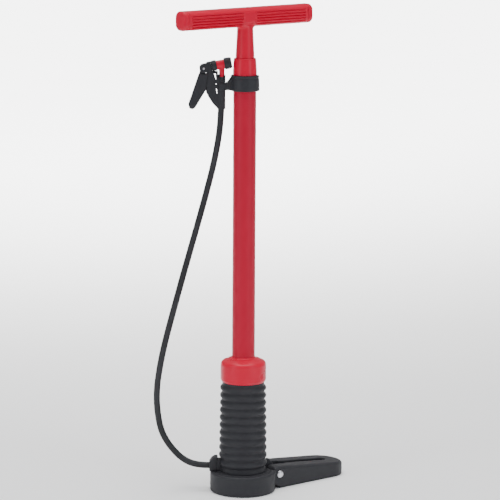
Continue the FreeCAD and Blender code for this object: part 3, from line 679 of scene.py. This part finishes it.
def handle_end_field(side):
    """The field of the cap on one side of the bar: -1 for the left one, 1 for the right one."""
    def field(x, y, z):
        place = x * side - BAR_HALF
        cap = bar_section(y, z - BAR_UP)
        closed = plate(place - BAR_END / 2, cap, BAR_END / 2, 3.8)
        lip = plate(place - 1.5, cap, 1.4, 0.8)
        return soft_union(closed, lip, 0.4)
    return field


for side, label in ((-1, "left"), (1, "right")):
    low, high = sorted((BAR_HALF * side, (BAR_HALF + BAR_END) * side))
    cast(f"handle_end_{label}_moulding", handle_end_field(side), (low, -12, 617), (high, 12, 643), 0.6,
         "red_gloss", [f"handle_end_{label}"], "rod_and_handle")

# %% [markdown]
# The base is a round moulding with a soft rim. On the pedal's side it is cut flat, and a lug stands out for
# the hinge pin, with two cheeks that run up to the ribbed housing and stiffen it.

# %% Base
PIN_OUT, PIN_UP = (joints["pedal_fold"]["pos_m"][i] / mm for i in (0, 2))
BASE_RADIUS = 43.5
BASE_TOP = 27
LUG_ROUND = 10
LUG_HALF = 8.1
BASE_PIN_HOLE = 2.55


def base_field(x, y, z):
    out = np.hypot(x, y)
    cup = rod(out, z, BASE_RADIUS, 0, BASE_TOP, 2.6)
    cup = soft_cut(cup, rod(out, z, 39.5, -10, 22, 1), 0.8)
    cup = soft_union(cup, rod(out, z, 22, 5, 26, 1), 1.0)
    cup = np.maximum(cup, -(rod(out, z, 18, 10, 60, 0.2)))
    cup = soft_cut(cup, block(x - 50.6, y, z, (20, 26.4, 80), 0.5), 1.0)
    seat = block(x - 27, y, z - 13.5, (3.6, 26, 13.5), 1.2)
    lug_root = polygon(x, z, [
        (24, 5), (PIN_OUT, PIN_UP - LUG_ROUND), (PIN_OUT, PIN_UP + LUG_ROUND), (33.2, BASE_TOP),
        (24, BASE_TOP)])
    lug_side = np.minimum(np.hypot(x - PIN_OUT, z - PIN_UP) - LUG_ROUND, lug_root)
    lug = plate(y, lug_side, LUG_HALF, 0.8)
    cheek_side = polygon(x, z, [(33.2, 20), (45.5, 20), (46.5, 28), (44.5, 31.5), (38, 38.3), (33.2, 38.3)])
    cheeks = plate(np.abs(y) - 5.6, cheek_side, 2.5, 0.9)
    whole = soft_union(soft_union(soft_union(cup, seat, 1.5), lug, 1.5), cheeks, 1.2)
    rim = np.hypot(out - 36.5, z - 27.3) - 0.9
    whole = soft_cut(whole, rim, 0.5)
    pin = np.hypot(x - PIN_OUT, z - PIN_UP) - BASE_PIN_HOLE
    whole = np.maximum(whole, -pin)
    return np.maximum(whole, -z)


cast("base_moulding", base_field, (-BASE_RADIUS, -BASE_RADIUS, 0), (54, BASE_RADIUS, 39), 0.9,
     "black_plastic", ["base_cup"])

# %% [markdown]
# The pedal folds out from the base: two broad rails joined by a round toe, wedge-shaped from the side. The
# slot between them is narrow, and widens at the heel so that the hinge lug and its cheeks can pass.

# %% Pedal
HEEL, TOE = (corner.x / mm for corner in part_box("pedal"))
HALF_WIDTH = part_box("pedal")[1].y / mm
HEEL_ROUND = PIN_OUT - HEEL
TOE_CENTRE = TOE - HALF_WIDTH
HEEL_TOP, TOE_TOP = 29.8, 17.4
SLOT_END, SLOT_HALF = 141.5, 5.5
HEEL_SLOT_HALF = 8.5
PIN_HOLE = 2.5
UNDER_HEEL = 0.7


def pedal_field(x, y, z):
    past = np.maximum(x - TOE_CENTRE, 0)
    plan = np.hypot(past, y) - HALF_WIDTH
    side = polygon(x, z, [(HEEL, 0), (TOE + 5, 0), (TOE + 5, 16.9), (PIN_OUT, HEEL_TOP), (HEEL, HEEL_TOP)])
    rise = (z - PIN_UP) * np.where(z < PIN_UP, UNDER_HEEL, 1.0)
    heel = np.where(x < PIN_OUT, np.hypot(x - PIN_OUT, rise), 0) - HEEL_ROUND
    top = (z - np.interp(x, [PIN_OUT, TOE], [HEEL_TOP, TOE_TOP])) * 0.995
    bevel = (plan + top + 2.6) * math.sqrt(0.5)
    body = soft_both(soft_both(soft_both(plan, side, 1.2), bevel, 1.0), heel, 0.8)
    inner_end = SLOT_END - SLOT_HALF
    narrow = np.where(x > inner_end, np.hypot(x - inner_end, y), np.abs(y)) - SLOT_HALF
    wide = block(x - 20, y, np.zeros_like(x), (45, HEEL_SLOT_HALF, 10), 3)
    body = soft_cut(body, soft_union(narrow, wide, 2), 1.4)
    pin = np.hypot(x - PIN_OUT, z - PIN_UP) - PIN_HOLE
    return np.maximum(body, -pin)


cast("pedal_moulding", pedal_field, (HEEL, -HALF_WIDTH, 0), (TOE, HALF_WIDTH, 30), 0.8,
     "black_plastic", ["pedal"], "foot_pedal")

# %% [markdown]
# The hinge pin is a zinc-plated rivet with a low dome, held on the far side by a spring ring.

# %% Hinge pin
HINGE_STEPS = 48


def crosswise(base, x, z):
    """A place at (x, z) in millimetres on base, whose Z runs across the pump, towards -Y."""
    return base @ Matrix.Translation((x * mm, 0, z * mm)) @ Matrix.Rotation(math.radians(90), 4, "X")


hinge_place = crosswise(Matrix(), PIN_OUT, PIN_UP)
lathe("hinge_rivet", [
    (0, -HALF_WIDTH - 3), (2.0, -HALF_WIDTH - 3, 0.3), (2.5, -HALF_WIDTH - 2.4, 0.3), (2.5, HALF_WIDTH),
    (5.0, HALF_WIDTH), (5.0, HALF_WIDTH + 0.8, 0.4), (3.6, HALF_WIDTH + 2.1, 1.5),
    (0.9, HALF_WIDTH + 2.6, 0.6), (0, HALF_WIDTH + 2.6)],
    HINGE_STEPS, "steel", ["pedal_pin"], "foot_pedal", hinge_place)
lathe("spring_ring", [
    (2.5, -HALF_WIDTH - 1.4), (4.6, -HALF_WIDTH - 1.4, 0.3), (4.6, -HALF_WIDTH, 0.3), (2.5, -HALF_WIDTH)],
    HINGE_STEPS, "steel", ["pin_ring"], "foot_pedal", hinge_place)

# %% [markdown]
# The valve block's arm carries the hose port: a block on top of the base with its outer corner rounded off.

# %% Hose port
PORT_FACE, PORT_UP = HOSE_ROUTE[0]
PORT_HALF = 8


def port_field(x, y, z):
    out = np.hypot(x, y)
    pedestal = np.minimum(rod(out, z, 17.9, 10, 28, 0.4), rod(out, z, 20.5, 27, 60, 0.4))
    arm = plate(y, polygon(x, z, [(17, 27), (33.5, 27), (33.5, 42), (17, 42)]), PORT_HALF, 0.6)
    port_side = polygon(x, z, [
        (33.4, 27), (PORT_FACE, 27), (PORT_FACE, 39), (41.5, 43.6), (37.5, 46), (33.4, 46)])
    port = plate(y, port_side, PORT_HALF, 1.8)
    whole = np.minimum(pedestal, soft_union(arm, port, 0.5))
    boss = rod(np.hypot(y, z - PORT_UP), x, 5.4, 40, PORT_FACE, 0.5)
    whole = soft_union(whole, boss, 0.8)
    hollow = np.minimum(rod(out, z, 15.0, 42, 70, 0.1), rod(out, z, 5, 20, 43, 0.1))
    return np.maximum(whole, -hollow)


cast("valve_block_moulding", port_field, (-21, -21, 10), (45, 21, 60), 0.9,
     "black_plastic", ["valve_block"], placing=hose_side)

# %% [markdown]
# The parking clip is a band round the barrel. An arm grows from it towards the head and ends in two springy
# fingers that snap round the sleeve of the head.

# %% Parking clip
STEM = stem_out / mm
CLIP_LOW, CLIP_HIGH = (corner.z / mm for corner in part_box("parking_clip"))
FINGER_HEIGHT = 9
FINGER_OUT, FINGER_IN = 7.2, 4.95
BAND_BORE = 15.06


def clip_field(x, y, z):
    out = np.hypot(x, y)
    radius = np.interp(z, [CLIP_LOW, CLIP_HIGH], [19.2, 18.5])
    ring = rod(out, z, radius, CLIP_LOW, CLIP_HIGH, 1.3)
    ring = soft_cut(ring, np.hypot(out - radius - 0.5, z - CLIP_HIGH + 3.4) - 0.9, 0.4)
    arm_low = CLIP_LOW + 0.8
    arm_side = polygon(x, z, [
        (12, arm_low), (STEM - 5, arm_low), (STEM - 5, arm_low + FINGER_HEIGHT), (22.5, 546.5), (18, 552),
        (12, 552)])
    arm = plate(y, arm_side, 5.5, 1.2)
    finger_ring = rod(np.hypot(x - STEM, y), z, FINGER_OUT, arm_low, arm_low + FINGER_HEIGHT, 1.0)
    whole = soft_union(soft_union(ring, arm, 1.6), finger_ring, 1.2)
    grip_hole = np.hypot(x - STEM, y) - FINGER_IN
    mouth = np.maximum(np.maximum(STEM - x, np.abs(y) - FINGER_IN), 520 - z)
    whole = soft_cut(whole, np.minimum(grip_hole, mouth), 0.4)
    whole = soft_both(whole, x - STEM - 3, 0.6)
    return np.maximum(whole, BAND_BORE - out)


cast("parking_clip_moulding", clip_field, (-20, -20, CLIP_LOW), (34, 20, CLIP_HIGH), 0.6,
     "black_plastic", ["parking_clip"], placing=hose_side)

# %% [markdown]
# The valve head: a red T body with a black screw cap on its nozzle, a plain black nut behind it, and a
# housing whose ears carry the thumb lever.

# %% Red body, screw cap and nut of the head
HEAD_STEPS = 72
NOZZLE_UP = (head_frame.inverted() @ nozzle_root).z / mm
TILT = math.asin(nozzle_way.z)


def head_field(x, y, z):
    rise = z - NOZZLE_UP
    along_it = -x * math.cos(TILT) + rise * math.sin(TILT)
    lift = x * math.sin(TILT) + rise * math.cos(TILT)
    off = np.hypot(lift, y)
    body = np.minimum(rod(off, along_it, 5.8, -7, 5.5, 0.4), rod(off, along_it, 4.6, -12.5, -6, 0.2))
    radius = np.interp(z, [STEM_FOOT, 560, 566], [3.4, 3.8, 4.4])
    stem = rod(np.hypot(x, y), z, radius, STEM_FOOT, NOZZLE_UP - 1, 0.5)
    whole = soft_union(body, stem, 2.2)
    bore = rod(off, along_it, 3.4, -20, 10, 0.1)
    return np.maximum(whole, -bore)


cast("head_body_moulding", head_field, (-8, -7, STEM_FOOT), (15, 7, 574), 0.4,
     "red_gloss", ["head_body"], placing=head_frame)

lathe("nozzle_screw_cap", [
    (5.86, 3.3), (6.9, 3.3, 0.3), (7.55, 4.3, 0.5), (7.55, 9.4, 0.8), (7.0, 12.3, 0.9), (6.0, 12.9, 0.5),
    (4.6, 12.9, 0.3), (4.3, 12.3, 0.3), (4.3, 10.5), (5.86, 10.5)],
    HEAD_STEPS, "black_plastic", ["nozzle_cap"], placing=nozzle_frame)
lathe("head_back_nut", [
    (4.65, -7.05), (6.5, -7.05, 0.3), (6.9, -7.7, 0.4), (6.9, -12.8, 0.6), (6.3, -13.5, 0.4),
    (2.4, -13.5), (2.4, -12.55), (4.65, -12.55)],
    HEAD_STEPS, "black_plastic", ["head_nut"], placing=nozzle_frame)

# %% [markdown]
# The housing's two ears hold the lever's pin, and the lever hangs from it and swings outward. Below it the
# grip is moulded round the end of the hose: a sleeve with a notch on each side, and a web with three small
# windows. The lever's paddle is hollow on the side of the grip and has fine ribs on the thumb's side.

# %% Lever housing, lever and grip
PIN_X, PIN_Z = pin_local.x / mm, pin_local.z / mm
EAR_ROUND = 5.6
CAM_ROUND = 4.3
PADDLE_HALF = 5.8
RIB_PITCH, RIB_MIDDLE = 3.4, 515
SLEEVE_OUT, SLEEVE_IN = 4.9, 4.22
LEVER_PIN_STEPS = 32
pin_nozzle = nozzle_frame.inverted() @ lever_pin / mm


def housing_field(x, y, z):
    up, back_off = x - pin_nozzle.x, z - pin_nozzle.z
    ear_root = polygon(x, z, [
        (-8, -13.6), (6, -13.6), (6, -18.6), (4.65, -20), (4.65, pin_nozzle.z), (-6.5, pin_nozzle.z),
        (-6.5, -19), (-8, -18.6)])
    ears = np.minimum(np.hypot(up, back_off) - EAR_ROUND, ear_root)
    whole = plate(y, ears, 6.2, 0.7)
    whole = soft_cut(whole, np.maximum(np.abs(y) - 4.0, z + 17.6), 0.4)
    whole = np.maximum(whole, 2.4 - np.hypot(x, y))
    return np.maximum(whole, 1.3 - np.hypot(up, back_off))


cast("lever_housing_moulding", housing_field, (-9, -7, -31), (7, 7, -13), 0.4,
     "black_plastic", ["lever_housing"], placing=nozzle_frame)


def lever_field(x, y, z):
    cam = np.hypot(x - PIN_X - 1.4, z - PIN_Z - 0.96) - CAM_ROUND
    neck = polygon(x, z, [(20.6, 552), (29.6, 552), (27.7, 562), (20.8, 559.5)])
    inner = plate(y, np.minimum(cam, neck), 3.6, 0.5)
    paddle_side = polygon(x, z, [
        (19.6, 553.2), (28.8, 553.2), (31.2, 546), (42.0, 514.4), (41.0, 510.2), (38.0, 509.2), (35.2, 511.0),
        (22.0, 533.2)]) - 1.2
    half = np.interp(z, [508, 514, 520], [4.8, 5.7, PADDLE_HALF])
    paddle = plate(y * PADDLE_HALF / half, paddle_side, PADDLE_HALF, 1.1)
    rise = z - RIB_MIDDLE
    rib = np.abs(rise - RIB_PITCH * np.round(rise / RIB_PITCH)) - 0.55
    outer = polygon(x, z, [(29.4, 550), (60, 550), (60, 500), (44.6, 511)])
    whole = soft_union(paddle, inner, 0.8)
    ribbed_area = np.maximum(np.abs(z - 523) - 10, np.abs(y) - 4.2)
    grip_line = np.maximum(np.maximum(rib, np.abs(outer) - 0.75), ribbed_area)
    whole = soft_cut(whole, grip_line, 0.4)
    channel_side = polygon(x, z, [(10, 562), (20.4, 562), (23.0, 530), (23.0, 515), (10, 515)])
    channel = np.maximum(channel_side, np.abs(y) - 4.6)
    whole = soft_cut(whole, np.where(z > 556, 50.0, channel), 0.2)
    return np.maximum(whole, 1.35 - np.hypot(x - PIN_X, z - PIN_Z))


cast("thumb_lever_moulding", lever_field, (20, -6, 507), (46, 6, 567), 0.5,
     "black_plastic", ["lever"], "thumb_lever", head_frame)


def grip_field(x, y, z):
    out = np.hypot(x, y)
    sleeve = rod(out, z, SLEEVE_OUT, 508.3, 553, 0.5)
    web_side = polygon(x, z, [
        (1, 549), (5.0, 549), (5.3, 557.2), (19.8, 557.2), (20.2, 548), (20.7, 534), (19.9, 530), (16.2, 523),
        (12.3, 516.9), (8.6, 512.6), (5, 509), (1, 509)]) - 0.2
    web = plate(y, web_side, 4.3, 1.3)
    whole = soft_union(sleeve, web, 1.0)
    windows = polygon(x, z, [(8.3, 554.4), (9.7, 554.4), (7.6, 546.5)]) - 0.3
    windows = np.minimum(windows, polygon(x, z, [(6.2, 535), (7.7, 535), (5.7, 526)]))
    windows = np.minimum(windows, np.hypot(x - 7.2, z - 540.5) - 0.9)
    whole = soft_cut(whole, windows, 0.4)
    notch = np.maximum(np.hypot(x * 1.3, (z - 551) * 0.5) - 3.4, np.abs(x) - 2.7)
    whole = soft_cut(whole, np.maximum(notch, 2.0 - np.abs(y)), 0.3)
    return np.maximum(whole, SLEEVE_IN - out)


cast("head_grip_moulding", grip_field, (-5, -6, 508), (23, 6, 558), 0.36,
     "black_plastic", ["head_grip"], placing=head_frame)
lathe("lever_rivet", [
    (0, -6.9), (1.1, -6.9, 0.2), (1.3, -6.7, 0.2), (1.3, 6.2), (2.1, 6.2), (2.0, 6.8, 0.3), (1.2, 7.2, 0.4),
    (0, 7.2)],
    LEVER_PIN_STEPS, "steel", ["lever_pin"], placing=crosswise(head_frame, PIN_X, PIN_Z))

# %% [markdown]
# The check valve's spring sits below its ball, out of sight. It is a real coil here: a ring of points carried
# along a helix. When the ball leaves its seat the spring gets shorter. The coil gets a mesh of its own and
# the share of its length it would keep is worked out, but the coil is not squashed.

# %% Valve spring
SPRING_WIRE = 0.35
SPRING_TURNS = 5
STEPS_PER_TURN = 28
WIRE_STEPS = 10


def coil_spring(name, radius, wire, low, high, turns, slot, replaced):
    """A helix of round wire, its middle line running from low to high, in millimetres."""
    build = bmesh.new()
    steps = turns * STEPS_PER_TURN
    wire_turns = [2 * math.pi * i / WIRE_STEPS for i in range(WIRE_STEPS)]
    up = Vector((0, 0, 1))
    rings = []
    for step in range(steps + 1):
        turn = 2 * math.pi * turns * step / steps
        out = Vector((math.cos(turn), math.sin(turn), 0))
        middle_point = out * radius + Vector((0, 0, low + (high - low) * step / steps))
        rings.append([build.verts.new((middle_point + wire * (math.cos(a) * out + math.sin(a) * up)) * mm)
                      for a in wire_turns])
    for first, second in zip(rings, rings[1:]):
        for i in range(WIRE_STEPS):
            following = (i + 1) % WIRE_STEPS
            build.faces.new((first[i], first[following], second[following], second[i]))
    build.faces.new(rings[0][::-1])
    build.faces.new(rings[-1])
    return finish_mesh(name, mesh_from(name, build), Matrix(), slot, "root", replaced, TURNED_SHARP)


spring_low, spring_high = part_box("check_spring")
spring = coil_spring("valve_spring_coil", spring_high.x / mm - SPRING_WIRE, SPRING_WIRE,
                     spring_low.z / mm + SPRING_WIRE, spring_high.z / mm - SPRING_WIRE, SPRING_TURNS,
                     "steel", ["check_spring"])
moving = {joint["name"]: joint for joint in frame["record"]["behaviour"]["joints"]}
lift = moving["check_lift"]["range_m"][1]
1 - lift / (spring_high.z - spring_low.z)
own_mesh(spring)

# %% [markdown]
# The pump stands on a wide pale floor. A tall soft light on each side draws the pair of upright highlights on
# every round red part. One light hangs over the pump and a larger one over the floor behind it. Both shine
# straight down with a narrowed beam, so they brighten the floor and hardly show in the black top faces. An
# even sky fills the shadows.

# %% Floor and lights
FLOOR_HALF = 30
floor_mesh = bpy.data.meshes.new("floor")
floor_mesh.from_pydata([(-FLOOR_HALF, -FLOOR_HALF, 0), (FLOOR_HALF, -FLOOR_HALF, 0),
                        (FLOOR_HALF, FLOOR_HALF, 0), (-FLOOR_HALF, FLOOR_HALF, 0)], [], [(0, 1, 2, 3)])
floor = bpy.data.objects.new("floor", floor_mesh)
bpy.context.scene.collection.objects.link(floor)


def floor_finish():
    finish = Finish("floor_paper", ior=1.4)
    cloud = finish.grain(3, 2)
    finish.set("Base Color", finish.mix(cloud, rgb(0.88, 0.88, 0.88), rgb(0.91, 0.91, 0.91)))
    finish.set("Roughness", 0.9)
    return finish.material


dress(floor, floor_finish())


def soft_light(name, place, facing, width, height, power, tint=(1, 1, 1), spread=180):
    """An area light at a place, its face turned along facing, its beam held to a spread in degrees."""
    data = bpy.data.lights.new(name, "AREA")
    data.shape = "RECTANGLE"
    data.size = width
    data.size_y = height
    data.energy = power
    data.color = tint
    data.spread = math.radians(spread)
    thing = bpy.data.objects.new(name, data)
    thing.location = place
    thing.rotation_euler = (-facing).to_track_quat("Z", "Y").to_euler()
    bpy.context.scene.collection.objects.link(thing)


COOL = (0.82, 0.91, 1.0)
DOWN = Vector((0, 0, -1))
SIDE_LIFT, SIDE_DISTANCE = math.radians(10), 1.7
TOP_HEIGHT = 2.4
BACKDROP_DISTANCE, BACKDROP_HEIGHT = 7.5, 2.6
NARROW_BEAM = 70
SKY_STRENGTH = 0.42
pump_middle = Vector((0, 0, 0.32))
for name, swing in (("left_light", -52), ("right_light", 52)):
    away = around_pump(VIEW_TURN + math.radians(swing), SIDE_LIFT, SIDE_DISTANCE)
    soft_light(name, pump_middle + away, -away, width=0.3, height=1.9, power=10, tint=COOL)
soft_light("top_light", Vector((0, 0, TOP_HEIGHT)), DOWN, width=5, height=5, power=95, spread=NARROW_BEAM)
behind = around_pump(VIEW_TURN + math.pi, 0, 1)
soft_light("backdrop_light", behind * BACKDROP_DISTANCE + Vector((0, 0, BACKDROP_HEIGHT)), DOWN,
           width=9, height=9, power=1700, spread=NARROW_BEAM)
world = bpy.data.worlds.new("sky")
world.use_nodes = True
sky = world.node_tree.nodes["Background"]
sky.inputs["Color"].default_value = rgb(1, 1, 1)
sky.inputs["Strength"].default_value = SKY_STRENGTH
bpy.context.scene.world = world
print(f"lit by {len(bpy.data.lights)} lights and the sky")
